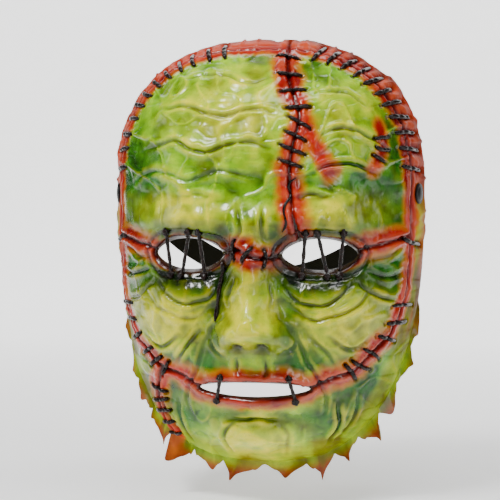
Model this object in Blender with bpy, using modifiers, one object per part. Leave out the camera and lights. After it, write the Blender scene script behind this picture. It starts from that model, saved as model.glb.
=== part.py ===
"""Moulded Halloween mask: sewn skin panels, threads, rivets and an elastic strap.

Frame: metres, +Z up, the face looks along -Y and +X is on the viewer's right. The
origin lies in the plane of the rear rim, midway between the temples, level with the
eye slots.
"""

import math

import bmesh
import bpy
from mathutils import Matrix, Vector
from mathutils.bvhtree import BVHTree

# Driving dimensions of the moulded shell.
HALF_WIDTH = 0.099
WIDEST_Z = 0.035
TOP_RISE = 0.098
CHIN_DROP = 0.168
TOP_POWER = 2.5
CHIN_POWER = 2.6
DEPTH = 0.084
DOME_POWER = 2.6
DOME_FALL = 1.8
CHIN_LIFT = 0.4
LIFT_START_Z = -0.026
LIFT_SPAN = 0.107
WALL = 0.0025
COLUMNS = 30
ROWS = 40

FORWARD = Vector((0.0, -1.0, 0.0))

# Joints between the panels, and the clearance that every touching piece keeps.
KERF = 0.0003
GAP = 0.0003
CROWN_SEAM = 0.93
CROWN_END_Z = -0.022
CUT_FRONT = -0.2
CUT_BACK = 0.05
REAR_TRIM = 0.003

# Slots.
EYE_X = 0.040
EYE_HALF_LENGTH = 0.022
EYE_HALF_HEIGHT = 0.0095
EYE_POINT = 1.3
MOUTH_Z = -0.082
MOUTH_HALF_LENGTH = 0.034
MOUTH_HALF_HEIGHT = 0.0045
MOUTH_POINT = 1.2

# Drips of the torn hem, from the left cheek round the chin to the right cheek.
DRIP_LENGTHS = (0.004, 0.006, 0.010, 0.016, 0.018, 0.009, 0.014, 0.011, 0.017, 0.010,
                0.015, 0.008, 0.005, 0.004)
DRIP_START = math.radians(198)
DRIP_END = math.radians(342)
DRIP_POWER = 1.4

# Sewing thread and moulded strands.
THREAD = 0.0012
SPINE = 0.0007
STRAND = 0.0013
REST = 0.0013
RIDGE_REST = 0.0016
STRAND_REST = STRAND + 0.0014
POINTS_PER_STITCH = 5

# Rivets and strap.
HINGE = Vector((0.0888, -0.018, 0.036))
RIVET_TILT = math.radians(15)
RIVET_CLEARANCE = 0.011
CAP_RADIUS = 0.0065
CAP_THICKNESS = 0.0018
POST_RADIUS = 0.0016
POST_INSIDE = 0.0034
WALL_OFFSET = 0.0074
WASHER_RADIUS = 0.0045
WASHER_THICKNESS = 0.0014
STRAP_WIDTH = 0.015
STRAP_THICKNESS = 0.0012
STRAP_HOLE = 0.0024
TAB_FRONT = 0.006

# Raised and sunken places of the face: x, z, height, half width and half height.
# The first list is mirrored to the other side of the face.
PAIRED_BUMPS = {
    "brow": (0.037, 0.021, 0.007, 0.030, 0.009),
    "socket": (0.040, -0.002, -0.009, 0.024, 0.014),
    "eye_bag": (0.040, -0.022, 0.004, 0.022, 0.007),
    "cheekbone": (0.058, -0.038, 0.008, 0.024, 0.020),
    "hollow": (0.054, -0.082, -0.004, 0.020, 0.020),
    "nose_wing": (0.0145, -0.049, 0.011, 0.0085, 0.0085),
    "temple": (0.078, 0.030, -0.003, 0.018, 0.026),
}
CENTRE_BUMPS = {
    "forehead": (0.0, 0.075, 0.004, 0.060, 0.040),
    "glabella": (0.0, 0.020, 0.003, 0.014, 0.012),
    "nose_bridge": (0.0, -0.012, 0.014, 0.012, 0.028),
    "nose_tip": (0.0, -0.044, 0.021, 0.0135, 0.0145),
    "muzzle": (0.0, -0.080, 0.009, 0.036, 0.026),
    "upper_lip": (0.0, -0.0745, 0.003, 0.030, 0.0045),
    "lower_lip": (0.0, -0.0915, 0.003, 0.026, 0.0045),
    "lip_groove": (0.0, -0.101, -0.004, 0.022, 0.006),
    "chin": (0.0, -0.117, 0.012, 0.022, 0.015),
}
RELIEF_FADE_START = 0.80

# Seams, as x and z on the front. Some start inside a slot, to open into it.
FOREHEAD_SEAM = ((0.013, 0.140), (0.015, 0.128), (0.020, 0.106), (0.028, 0.084),
                 (0.025, 0.066), (0.023, 0.048), (0.025, 0.028), (0.030, 0.004))
BRIDGE_SEAM = ((-0.022, 0.000), (-0.008, 0.003), (0.006, -0.002), (0.022, 0.001))
LEFT_JAW_SEAM = ((-0.0595, -0.0700), (-0.064, -0.088), (-0.061, -0.103),
                 (-0.055, -0.121), (-0.052, -0.160))
OUTER_BROW = ((0.058, 0.000), (0.066, 0.004), (0.077, 0.006))
OUTER_BROW_END_Z = 0.010
MOUTH_SEAM = ((0.030, -0.082), (0.048, -0.075), (0.060, -0.071), (0.068, -0.063),
              (0.080, -0.051), (0.086, -0.037))
SCAR = ((0.071, 0.052), (0.076, 0.064), (0.074, 0.078))
LOOSE_THREAD = ((0.027, 0.0465), (0.022, 0.042), (0.024, 0.036), (0.020, 0.028),
                (0.022, 0.020), (0.019, 0.014))
DRIP_STRAND = ((-0.018, -0.004), (-0.0175, -0.009), (-0.019, -0.018), (-0.0205, -0.030),
               (-0.022, -0.040))
STRAP_HALF = ((0.0888, 0.000, 0.0350), (0.0855, 0.012, 0.0290), (0.0740, 0.021, 0.0145),
              (0.0580, 0.026, 0.0000), (0.0360, 0.028, -0.0125), (0.0140, 0.029, -0.0200),
              (0.0000, 0.029, -0.0210))

# One place, x and z on the front, inside each panel.
PANELS = {
    "forehead_panel_left": (-0.030, 0.070),
    "forehead_panel_right": (0.050, 0.070),
    "mid_face_panel": (0.0, -0.040),
    "cheek_panel_left": (-0.080, -0.075),
    "jaw_panel": (0.0, -0.115),
    "crown_band_left": (-0.060, 0.127),
    "crown_band_right": (0.060, 0.127),
}

COLLECTION = "halloween_mask"
CUTTERS = "cutters"

COLOURS = {
    "latex": ((0.33, 0.50, 0.04, 1.0), 0.25),
    "latex_band": ((0.48, 0.09, 0.03, 1.0), 0.25),
    "thread": ((0.06, 0.02, 0.02, 1.0), 0.3),
    "rivet": ((0.015, 0.015, 0.02, 1.0), 0.35),
    "washer": ((0.03, 0.03, 0.03, 1.0), 0.4),
    "elastic": ((0.012, 0.012, 0.012, 1.0), 0.85),
}


# ---------------------------------------------------------------- scene and materials

def clear_scene():
    """Empty the scene, and make the two collections."""
    for obj in list(bpy.data.objects):
        bpy.data.objects.remove(obj, do_unlink=True)
    for name in (COLLECTION, CUTTERS):
        collection = bpy.data.collections.new(name)
        bpy.context.scene.collection.children.link(collection)


def material_for(node, look):
    """A Principled material of the node's own."""
    colour, roughness = COLOURS[look]
    material = bpy.data.materials.new(node)
    material.use_nodes = True
    shader = material.node_tree.nodes["Principled BSDF"]
    shader.inputs["Base Color"].default_value = colour
    shader.inputs["Roughness"].default_value = roughness
    shader.inputs["Metallic"].default_value = 0.0
    material.diffuse_color = colour
    return material


def link_part(obj, look):
    """Put a finished piece in the mask's collection with its material."""
    bpy.data.collections[COLLECTION].objects.link(obj)
    obj.data.materials.clear()
    obj.data.materials.append(material_for(obj.name, look))
    return obj


def link_cutter(obj):
    """Put a helper in the cutters' collection, drawn as wire."""
    bpy.data.collections[CUTTERS].objects.link(obj)
    obj.display_type = "WIRE"
    obj.hide_render = True
    return obj


def object_from(name, build):
    """An object whose mesh the function build fills."""
    mesh = bpy.data.meshes.new(name)
    form = bmesh.new()
    build(form)
    form.to_mesh(mesh)
    form.free()
    return bpy.data.objects.new(name, mesh)


def baked(obj):
    """The object's mesh as its modifiers leave it, with the modifiers dropped."""
    graph = bpy.context.evaluated_depsgraph_get()
    mesh = bpy.data.meshes.new_from_object(obj.evaluated_get(graph))
    if obj.type == "CURVE":
        form = bmesh.new()
        form.from_mesh(mesh)
        bmesh.ops.remove_doubles(form, verts=form.verts, dist=1e-6)
        bmesh.ops.recalc_face_normals(form, faces=form.faces)
        form.to_mesh(mesh)
        form.free()
        name, place = obj.name, obj.matrix_world.copy()
        bpy.data.objects.remove(obj)
        solid = bpy.data.objects.new(name, mesh)
        solid.matrix_world = place
        return solid
    obj.modifiers.clear()
    obj.data = mesh
    return obj


def combine(target, tool, operation):
    """Boolean of a linked target with a linked tool, left as plain mesh."""
    modifier = target.modifiers.new(operation.lower(), "BOOLEAN")
    modifier.operation = operation
    modifier.solver = "MANIFOLD"
    modifier.object = tool
    return baked(target)


# ---------------------------------------------------------------- form of the face

def half_height(below):
    """Reach of the outline from its widest level, and its roundness."""
    if below:
        return CHIN_DROP, CHIN_POWER
    return TOP_RISE, TOP_POWER


def rim_point(angle):
    """Rim in the XZ plane at an angle about the widest level."""
    across, up = math.cos(angle), math.sin(angle)
    reach, power = half_height(up < 0)
    x = HALF_WIDTH * math.copysign(abs(across) ** (2 / power), across)
    z = WIDEST_Z + reach * math.copysign(abs(up) ** (2 / power), up)
    return x, z


def rim_depth(rim_z):
    """How far the rim stands forward of the rear plane: it rises under the chin."""
    rise = min(1.0, max(0.0, (LIFT_START_Z - rim_z) / LIFT_SPAN))
    return DEPTH * CHIN_LIFT * rise * rise * (3 - 2 * rise) - REAR_TRIM


def bump(x, z, shape):
    """One rounded raised or sunken place."""
    centre_x, centre_z, height, wide, high = shape
    return height * math.exp(-((x - centre_x) / wide) ** 2 - ((z - centre_z) / high) ** 2)


def relief(x, z):
    """Height of the face's features above the plain dome."""
    height = sum(bump(x, z, shape) for shape in CENTRE_BUMPS.values())
    return height + sum(bump(abs(x), z, shape) for shape in PAIRED_BUMPS.values())


def drip(angle):
    """Length of the torn hem's drips at an angle of the rim."""
    turn = angle % math.tau
    share = (turn - DRIP_START) / (DRIP_END - DRIP_START) * len(DRIP_LENGTHS)
    if not 0 <= share < len(DRIP_LENGTHS):
        return 0.0
    index = int(share)
    off_centre = abs(share - index - 0.5) * 2
    return DRIP_LENGTHS[index] * (1 - off_centre ** DRIP_POWER)


def skin_point(p, q):
    """Outer surface of the shell at a place of the unit disc."""
    radius = min(1.0, math.hypot(p, q))
    angle = math.atan2(q, p)
    rim_x, rim_z = rim_point(angle)
    spread = math.sin(radius * math.pi / 2)
    x = spread * rim_x
    z = WIDEST_Z + spread * (rim_z - WIDEST_Z)
    dome = max(0.0, 1 - spread ** DOME_POWER) ** (1 / DOME_FALL)
    forward = rim_depth(rim_z)
    fade = 1 - max(0.0, (spread - RELIEF_FADE_START) / (1 - RELIEF_FADE_START)) ** 2
    y = -(forward + (DEPTH - forward) * dome + relief(x, z) * fade)
    return Vector((x, y, z))


def build_skin(form):
    """A grid over the unit disc, laid on the face, with the drips pulled from its rim."""
    grid = []
    for row in range(ROWS + 1):
        t = 2 * row / ROWS - 1
        line = []
        for column in range(COLUMNS + 1):
            s = 2 * column / COLUMNS - 1
            p = s * math.sqrt(1 - t * t / 2)
            q = t * math.sqrt(1 - s * s / 2)
            place = skin_point(p, q)
            if max(abs(s), abs(t)) == 1:
                angle = math.atan2(q, p)
                outward = Vector((math.cos(angle), 0.0, math.sin(angle) - 0.6)).normalized()
                place += outward * drip(angle)
            line.append(form.verts.new(place))
        grid.append(line)
    for row in range(ROWS):
        for column in range(COLUMNS):
            form.faces.new((grid[row][column], grid[row][column + 1],
                            grid[row + 1][column + 1], grid[row + 1][column]))


def make_shell():
    """The whole moulded shell: the skin with its wall, flat at the rear."""
    shell = link_cutter(object_from("shell", build_skin))
    wall = shell.modifiers.new("wall", "SOLIDIFY")
    wall.thickness = WALL
    wall.offset = -1.0
    wall.use_even_offset = False
    baked(shell)
    rear = link_cutter(object_from("rear_cutter", build_rear_cutter))
    return combine(shell, rear, "DIFFERENCE")


def build_rear_cutter(form):
    """A block behind the rear plane."""
    bmesh.ops.create_cube(form, size=1.0)
    bmesh.ops.scale(form, vec=(0.4, CUT_BACK, 0.5), verts=form.verts)
    bmesh.ops.translate(form, vec=(0.0, CUT_BACK / 2, 0.0), verts=form.verts)


# ---------------------------------------------------------------- seams and slots

def smooth(points, steps=6):
    """A Catmull-Rom line through the points."""
    line = []
    ends = [2 * points[0] - points[1], *points, 2 * points[-1] - points[-2]]
    for before, start, end, after in zip(ends, ends[1:], ends[2:], ends[3:]):
        for step in range(steps):
            u = step / steps
            line.append(0.5 * (2 * start + (end - before) * u
                               + (2 * before - 5 * start + 4 * end - after) * u ** 2
                               + (3 * start - before - 3 * end + after) * u ** 3))
    line.append(points[-1].copy())
    return line


def route(places, side=1):
    """A smooth front-view line, on the named side of the face."""
    return smooth([Vector((side * x, z)) for x, z in places])


def crown_x(z):
    """Where the crown seam crosses a level."""
    reach, power = half_height(z < WIDEST_Z)
    level = abs(z - WIDEST_Z) / reach
    return HALF_WIDTH * (CROWN_SEAM ** power - level ** power) ** (1 / power)


def crown_line(start, end, count):
    """Points along the crown seam between two angles."""
    line = []
    for step in range(count + 1):
        x, z = rim_point(start + (end - start) * step / count)
        line.append(Vector((CROWN_SEAM * x, WIDEST_Z + CROWN_SEAM * (z - WIDEST_Z))))
    return line


def crown_angle(z):
    """Rim angle, on the right side, where the crown seam crosses a level."""
    reach, power = half_height(z < WIDEST_Z)
    rise = math.copysign((abs(z - WIDEST_Z) / (CROWN_SEAM * reach)) ** (power / 2), z - WIDEST_Z)
    return math.asin(rise)


def brow_route(side):
    """Seam from an eye slot's outer corner to the crown seam."""
    end = (crown_x(OUTER_BROW_END_Z) + KERF, OUTER_BROW_END_Z)
    return route((*OUTER_BROW, end), side)


def mouth_route(side):
    """Seam from a corner of the mouth to the lower end of the crown seam."""
    end = (crown_x(CROWN_END_Z) + 2 * KERF, CROWN_END_Z + KERF)
    return route((*MOUTH_SEAM, end), side)


def crown_route():
    """The crown seam from one side's rim over the top to the other side's rim."""
    low = crown_angle(CROWN_END_Z)
    line = crown_line(math.pi - low, low, 56)
    line.insert(0, Vector((-HALF_WIDTH * 1.1, CROWN_END_Z - 0.002)))
    line.append(Vector((HALF_WIDTH * 1.1, CROWN_END_Z - 0.002)))
    return line


def kerf_cutter(name, line):
    """A thin wall along a front-view line, right through the mask."""
    def build(form):
        corners = [form.verts.new((x, CUT_FRONT, z)) for x, z in line]
        edges = [form.edges.new(pair) for pair in zip(corners, corners[1:])]
        swept = bmesh.ops.extrude_edge_only(form, edges=edges)["geom"]
        new = [item for item in swept if isinstance(item, bmesh.types.BMVert)]
        bmesh.ops.translate(form, vec=(0.0, CUT_BACK - CUT_FRONT, 0.0), verts=new)
        bmesh.ops.recalc_face_normals(form, faces=form.faces)
    wall = link_cutter(object_from(name, build))
    thickness = wall.modifiers.new("kerf", "SOLIDIFY")
    thickness.thickness = KERF
    thickness.offset = 0.0
    return wall


def slot_cutter(name, centre, half_length, half_height_, point_power):
    """A prism of an almond outline, right through the mask."""
    def build(form):
        outline = []
        for step in range(28):
            angle = math.tau * step / 28
            x = centre[0] + half_length * math.cos(angle)
            bulge = math.copysign(abs(math.sin(angle)) ** point_power, math.sin(angle))
            outline.append(form.verts.new((x, CUT_FRONT, centre[1] + half_height_ * bulge)))
        face = form.faces.new(outline)
        swept = bmesh.ops.extrude_face_region(form, geom=[face])["geom"]
        new = [item for item in swept if isinstance(item, bmesh.types.BMVert)]
        bmesh.ops.translate(form, vec=(0.0, CUT_BACK - CUT_FRONT, 0.0), verts=new)
        bmesh.ops.recalc_face_normals(form, faces=form.faces)
    return link_cutter(object_from(name, build))


def panel_cutters():
    """Every slot and hole, then every seam, cut through the shell."""
    sides = (("left", -1), ("right", 1))
    tools = [rivet_hole(label, side) for label, side in sides]
    tools += [slot_cutter("eye_slot_" + label, (side * EYE_X, 0.0), EYE_HALF_LENGTH,
                          EYE_HALF_HEIGHT, EYE_POINT) for label, side in sides]
    tools.append(slot_cutter("mouth_slot", (0.0, MOUTH_Z), MOUTH_HALF_LENGTH,
                             MOUTH_HALF_HEIGHT, MOUTH_POINT))
    tools.append(kerf_cutter("forehead_seam", route(FOREHEAD_SEAM)))
    tools.append(kerf_cutter("bridge_seam", route(BRIDGE_SEAM)))
    tools.append(kerf_cutter("crown_seam", crown_route()))
    tools.append(kerf_cutter("left_jaw_seam", route(LEFT_JAW_SEAM)))
    tools += [kerf_cutter("brow_seam_" + label, brow_route(side)) for label, side in sides]
    tools += [kerf_cutter("mouth_seam_" + label, mouth_route(side)) for label, side in sides]
    return tools


def loose_parts(mesh):
    """Each separate body of a mesh, as its own bmesh."""
    whole = bmesh.new()
    whole.from_mesh(mesh)
    whole.faces.index_update()
    seen = set()
    parts = []
    for first in whole.faces:
        if first.index in seen:
            continue
        seen.add(first.index)
        queue = [first]
        for face in queue:
            for edge in face.edges:
                for other in edge.link_faces:
                    if other.index not in seen:
                        seen.add(other.index)
                        queue.append(other)
        part = whole.copy()
        kept = {face.index for face in queue}
        others = [face for face in part.faces if face.index not in kept]
        bmesh.ops.delete(part, geom=others, context="FACES")
        parts.append(part)
    whole.free()
    return parts


def make_panels(shell):
    """Cut the shell along its seams and name the pieces."""
    for tool in panel_cutters():
        combine(shell, tool, "DIFFERENCE")
    parts = loose_parts(shell.data)
    for name, (x, z) in PANELS.items():
        place = Vector((x, z))

        def distance(part):
            return min((Vector((v.co.x, v.co.z)) - place).length for v in part.verts)

        part = min(parts, key=distance)
        parts.remove(part)
        mesh = bpy.data.meshes.new(name)
        part.to_mesh(mesh)
        look = "latex_band" if name.startswith("crown") else "latex"
        link_part(bpy.data.objects.new(name, mesh), look)


# ---------------------------------------------------------------- threads and strands

class Skin:
    """The shell's outside, to lay threads on."""

    def __init__(self, shell):
        form = bmesh.new()
        form.from_mesh(shell.data)
        self.tree = BVHTree.FromBMesh(form)
        form.free()

    def above(self, x, z, lift):
        """The place a distance above the outside at a front-view point."""
        hit, normal, _, _ = self.tree.ray_cast(Vector((x, CUT_FRONT, z)), -FORWARD)
        return hit + (normal + FORWARD).normalized() * lift


def tube(name, points, radius, resolution=1):
    """A round cord through the points, as a closed mesh."""
    curve = bpy.data.curves.new(name, "CURVE")
    curve.dimensions = "3D"
    spline = curve.splines.new("POLY")
    spline.points.add(len(points) - 1)
    for slot, place in zip(spline.points, points):
        slot.co = (*place, 1.0)
    curve.bevel_depth = radius
    curve.bevel_resolution = resolution
    curve.render_resolution_u = 0
    curve.use_fill_caps = True
    obj = bpy.data.objects.new(name, curve)
    bpy.data.collections[CUTTERS].objects.link(obj)
    return link_cutter_mesh(baked(obj))


def link_cutter_mesh(obj):
    """Link a solid made from a curve among the helpers."""
    if obj.name not in bpy.data.collections[CUTTERS].objects:
        bpy.data.collections[CUTTERS].objects.link(obj)
    obj.display_type = "WIRE"
    obj.hide_render = True
    return obj


def cord_along(skin, name, line, radius, look):
    """A cord laid on the skin along a front-view line."""
    points = [skin.above(place.x, place.y, REST + radius) for place in line]
    obj = tube(name, points, radius)
    bpy.data.collections[CUTTERS].objects.unlink(obj)
    return link_part(finish(obj), look)


def finish(obj):
    """Show a helper as a finished piece."""
    obj.display_type = "TEXTURED"
    obj.hide_render = False
    return obj


def stitch_row(skin, name, line, count, length, lean, margin=0.06, rest=REST):
    """A thread along a seam with stitches over it, joined into one body."""
    spacing = [margin + (1 - 2 * margin) * (index + 0.5) / count for index in range(count)]
    last = len(line) - 1
    stride = max(1, last // 20)
    inner = line[max(0, round(spacing[0] * last) - 2):round(spacing[-1] * last) + 3:stride]
    body = tube(name, [skin.above(p.x, p.y, 2 * GAP + SPINE) for p in inner], SPINE, 0)
    for share in spacing:
        index = min(last - 1, int(share * last))
        start, end = line[index], line[index + 1]
        middle = start.lerp(end, share * last - index)
        if (Vector((abs(middle.x), middle.y)) - HINGE.xz).length < RIVET_CLEARANCE:
            continue
        along = (end - start).normalized()
        across = Vector((-along.y, along.x)) + along * lean
        across.normalize()
        steps = [(step / (POINTS_PER_STITCH - 1) - 0.5) * length
                 for step in range(POINTS_PER_STITCH)]
        places = [middle + across * step for step in steps]
        bar = tube("stitch", [skin.above(p.x, p.y, rest + THREAD) for p in places], THREAD)
        combine(body, bar, "UNION")
        bpy.data.objects.remove(bar)
    bpy.data.collections[CUTTERS].objects.unlink(body)
    return link_part(finish(body), "thread")


def make_stitches(skin):
    """The sewn seams."""
    low = crown_angle(CROWN_END_Z)
    top = math.radians(86)
    stitch_row(skin, "crown_stitches_right", crown_line(low, top - 0.06, 60), 13, 0.011, 0.35)
    stitch_row(skin, "crown_stitches_left", crown_line(math.pi - low, top + 0.10, 60),
               14, 0.011, -0.35)
    stitch_row(skin, "forehead_stitches", route(FOREHEAD_SEAM[:6])[6:], 8, 0.016, 0.3, 0.04)
    stitch_row(skin, "nose_bridge_stitches", route(BRIDGE_SEAM), 3, 0.012, 0.1, 0.18,
               RIDGE_REST)
    stitch_row(skin, "cheek_stitches_left", mouth_route(-1)[6:], 6, 0.012, 0.2, 0.08)
    stitch_row(skin, "cheek_stitches_right", mouth_route(1)[6:], 6, 0.012, -0.2, 0.08)
    stitch_row(skin, "jaw_stitches_left", route(LEFT_JAW_SEAM)[2:-4], 5, 0.012, 0.15, 0.10)
    stitch_row(skin, "scar_stitches_right", route(SCAR), 3, 0.009, 0.2, 0.12)


def make_strands(skin):
    """Strands across the slots, and the loose threads that hang from the seams."""
    for label, side in (("left", -1), ("right", 1)):
        for number, (x, lean) in enumerate(((0.031, 0.001), (0.042, -0.002), (0.053, 0.001)), 1):
            bridge(skin, "eye_strand_%s_%d" % (label, number), side * x,
                   side * lean, 0.0, EYE_HALF_HEIGHT, 0.006)
    bridge(skin, "mouth_strand_left", -0.021, 0.001, MOUTH_Z, MOUTH_HALF_HEIGHT, 0.005)
    bridge(skin, "mouth_strand_right", 0.024, -0.001, MOUTH_Z, MOUTH_HALF_HEIGHT, 0.005)
    loose = [Vector(p) for p in LOOSE_THREAD]
    cord_along(skin, "loose_thread", smooth(loose, 4), SPINE, "thread")
    drip_line = [Vector(p) for p in DRIP_STRAND]
    cord_along(skin, "drip_strand", smooth(drip_line, 4), THREAD, "thread")


def bridge(skin, name, x, lean, level, half_gap, reach):
    """A moulded strand over a slot, resting on the skin above and below it."""
    rests = (half_gap + reach, half_gap + reach / 2, half_gap + 0.001)
    upper = [skin.above(x + lean * rest / half_gap, level + rest, STRAND_REST)
             for rest in rests]
    lower = [skin.above(x - lean * rest / half_gap, level - rest, STRAND_REST)
             for rest in reversed(rests)]
    middle = (upper[-1] + lower[0]) / 2
    obj = tube(name, smooth([*upper, middle, *lower], 2), STRAND)
    bpy.data.collections[CUTTERS].objects.unlink(obj)
    link_part(finish(obj), "thread")


# ---------------------------------------------------------------- rivets and strap

def rivet_axis(side):
    """Outward direction of a rivet."""
    return Vector((side * math.cos(RIVET_TILT), -math.sin(RIVET_TILT), 0.0))


def cylinder(name, base, direction, radius, length, segments=24):
    """A closed cylinder from a base point along a direction."""
    def build(form):
        bmesh.ops.create_cone(form, cap_ends=True, segments=segments, radius1=radius,
                              radius2=radius, depth=length)
        bmesh.ops.translate(form, vec=(0.0, 0.0, length / 2), verts=form.verts)
    obj = link_cutter(object_from(name, build))
    obj.rotation_euler = direction.to_track_quat("Z", "Y").to_euler()
    obj.location = base
    return obj


def hinge_point(side):
    """Where a rivet's post crosses the strap."""
    return Vector((side * HINGE.x, HINGE.y, HINGE.z))


def rivet_hole(label, side):
    """Cutter of the hole through the shell's wall."""
    base = hinge_point(side) - rivet_axis(side) * 0.002
    return cylinder("rivet_hole_" + label, base, rivet_axis(side), POST_RADIUS + GAP, 0.03)


def make_rivets():
    """The rivets with their inner washers."""
    for label, side in (("left", -1), ("right", 1)):
        axis = rivet_axis(side)
        centre = hinge_point(side)
        cap = cylinder("rivet_" + label, centre + axis * WALL_OFFSET, axis, CAP_RADIUS,
                       CAP_THICKNESS, 32)
        edge = cap.modifiers.new("edge", "BEVEL")
        edge.width = 0.0006
        edge.segments = 2
        edge.limit_method = "ANGLE"
        post = cylinder("post", centre - axis * POST_INSIDE, axis, POST_RADIUS,
                        POST_INSIDE + WALL_OFFSET + CAP_THICKNESS / 2)
        combine(cap, post, "UNION")
        bpy.data.objects.remove(post)
        bpy.data.collections[CUTTERS].objects.unlink(cap)
        link_part(finish(cap), "rivet")
        inward = Vector((-side, 0.0, 0.0))
        start = centre + inward * (STRAP_THICKNESS / 2 + GAP)
        washer = cylinder("rivet_washer_" + label, start, inward, WASHER_RADIUS,
                          WASHER_THICKNESS)
        hole = cylinder("washer_hole", centre + axis * 0.002, -axis, POST_RADIUS + GAP, 0.02)
        combine(washer, hole, "DIFFERENCE")
        bpy.data.objects.remove(hole)
        bpy.data.collections[CUTTERS].objects.unlink(washer)
        link_part(finish(washer), "washer")


def strap_line():
    """Centre line of the strap: back from a rivet, round behind the head and back."""
    half = [HINGE + Vector((0.0, -TAB_FRONT, 0.0))] + [Vector(p) for p in STRAP_HALF]
    other = [Vector((-p.x, p.y, p.z)) for p in reversed(half[:-1])]
    return smooth(half + other, 4)


def make_strap():
    """The elastic, one flat ribbon with a hole for each rivet's post."""
    section = bpy.data.curves.new("strap_section", "CURVE")
    section.dimensions = "2D"
    section.fill_mode = "NONE"
    corners = section.splines.new("POLY")
    corners.points.add(3)
    corners.use_cyclic_u = True
    half = (STRAP_THICKNESS / 2, STRAP_WIDTH / 2)
    for point, (x, y) in zip(corners.points, ((1, 1), (-1, 1), (-1, -1), (1, -1))):
        point.co = (x * half[0], y * half[1], 0.0, 1.0)
    section_obj = link_cutter(bpy.data.objects.new("strap_section", section))
    curve = bpy.data.curves.new("elastic_strap", "CURVE")
    curve.dimensions = "3D"
    curve.twist_mode = "Z_UP"
    line = strap_line()
    spline = curve.splines.new("POLY")
    spline.points.add(len(line) - 1)
    for slot, place in zip(spline.points, line):
        slot.co = (*place, 1.0)
    curve.bevel_mode = "OBJECT"
    curve.bevel_object = section_obj
    curve.render_resolution_u = 0
    curve.use_fill_caps = True
    raw = bpy.data.objects.new("elastic_strap", curve)
    bpy.data.collections[CUTTERS].objects.link(raw)
    strap = link_cutter_mesh(baked(raw))
    for side in (-1, 1):
        outward = Vector((side, 0.0, 0.0))
        base = hinge_point(side) - outward * 0.004
        hole = cylinder("strap_hole", base, outward, STRAP_HOLE, 0.008)
        combine(strap, hole, "DIFFERENCE")
        bpy.data.objects.remove(hole)
    bpy.data.collections[CUTTERS].objects.unlink(strap)
    strap.data.transform(Matrix.Translation((0.0, -HINGE.y, -HINGE.z)))
    strap.location = (0.0, HINGE.y, HINGE.z)
    return link_part(finish(strap), "elastic")


def main():
    """Build the mask."""
    clear_scene()
    shell = make_shell()
    skin = Skin(shell)
    make_panels(shell)
    make_stitches(skin)
    make_strands(skin)
    make_rivets()
    make_strap()


main()
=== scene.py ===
"""The looks of the moulded Halloween mask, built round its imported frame.

Everything is in metres, except the tables that say millimetres. The axes are the frame's: +Z
up, and the face looks along -Y.
"""

import math
import random
from collections import namedtuple

import bmesh
import bpy
import numpy as np
from mathutils import Matrix, Vector, noise
from mathutils.bvhtree import BVHTree
from mathutils.kdtree import KDTree


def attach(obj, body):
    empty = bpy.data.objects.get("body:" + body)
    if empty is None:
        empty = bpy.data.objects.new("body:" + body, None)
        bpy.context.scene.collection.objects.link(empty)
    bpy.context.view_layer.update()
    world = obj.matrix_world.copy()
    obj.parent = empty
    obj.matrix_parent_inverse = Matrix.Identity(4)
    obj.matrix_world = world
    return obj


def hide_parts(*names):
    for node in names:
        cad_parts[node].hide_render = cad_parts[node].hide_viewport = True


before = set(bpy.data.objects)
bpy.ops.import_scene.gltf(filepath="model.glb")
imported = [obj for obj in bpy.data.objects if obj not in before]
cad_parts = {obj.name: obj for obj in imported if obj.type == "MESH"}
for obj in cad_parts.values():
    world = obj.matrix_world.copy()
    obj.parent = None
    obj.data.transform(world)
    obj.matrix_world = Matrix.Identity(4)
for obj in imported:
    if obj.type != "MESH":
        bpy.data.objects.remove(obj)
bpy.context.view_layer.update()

# Form of the shell, as in the solids.
HALF_WIDTH = 0.099
WIDEST_Z = 0.035
TOP_RISE = 0.098
CHIN_DROP = 0.168
TOP_POWER = 2.5
CHIN_POWER = 2.6
DEPTH = 0.084
DOME_POWER = 2.6
DOME_FALL = 1.8
CHIN_LIFT = 0.4
LIFT_START_Z = -0.026
LIFT_SPAN = 0.107
WALL = 0.0023
RELIEF_FADE_START = 0.80
CROWN_SEAM = 0.93
CROWN_END_Z = -0.022

# Slots.
EYE_X = 0.040
EYE_HALF_LENGTH = 0.022
EYE_HALF_HEIGHT = 0.0095
EYE_POINT = 1.3
MOUTH_Z = -0.082
MOUTH_HALF_LENGTH = 0.034
MOUTH_HALF_HEIGHT = 0.0045
MOUTH_POINT = 1.2

# Drips of the hem, in millimetres.
DRIP_LENGTHS = (4, 6, 10, 16, 18, 9, 14, 11, 17, 10, 15, 8, 5, 4)
DRIP_START = math.radians(198)
DRIP_END = math.radians(342)
DRIP_ROWS = 9
DRIP_THINNING = 0.55

# Rivets, and the clear skin round them.
HINGE = Vector((0.0888, -0.018, 0.036))
RIVET_CLEARANCE = 0.011

# Sides of the mask, and the fineness of its skin.
SIDES = {"left": -1, "right": 1}
COLUMNS = 280
ROWS = 380
MM = 0.001

# Bumps in millimetres, as in the solids: x, z, rise, half width, half height.
PAIRED_BUMPS = {
    "brow": (37, 21, 7, 30, 9),
    "socket": (40, -2, -9, 24, 14),
    "eye_bag": (40, -22, 4, 22, 7),
    "cheekbone": (58, -38, 8, 24, 20),
    "hollow": (54, -82, -4, 20, 20),
    "nose_wing": (14.5, -49, 11, 8.5, 8.5),
    "temple": (78, 30, -3, 18, 26),
}
CENTRE_BUMPS = {
    "forehead": (0, 75, 4, 60, 40),
    "glabella": (0, 20, 3, 14, 12),
    "nose_bridge": (0, -12, 14, 12, 28),
    "nose_tip": (0, -44, 21, 13.5, 14.5),
    "muzzle": (0, -80, 9, 36, 26),
    "upper_lip": (0, -74.5, 3, 30, 4.5),
    "lower_lip": (0, -91.5, 3, 26, 4.5),
    "lip_groove": (0, -101, -4, 22, 6),
    "chin": (0, -117, 12, 22, 15),
}

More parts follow.
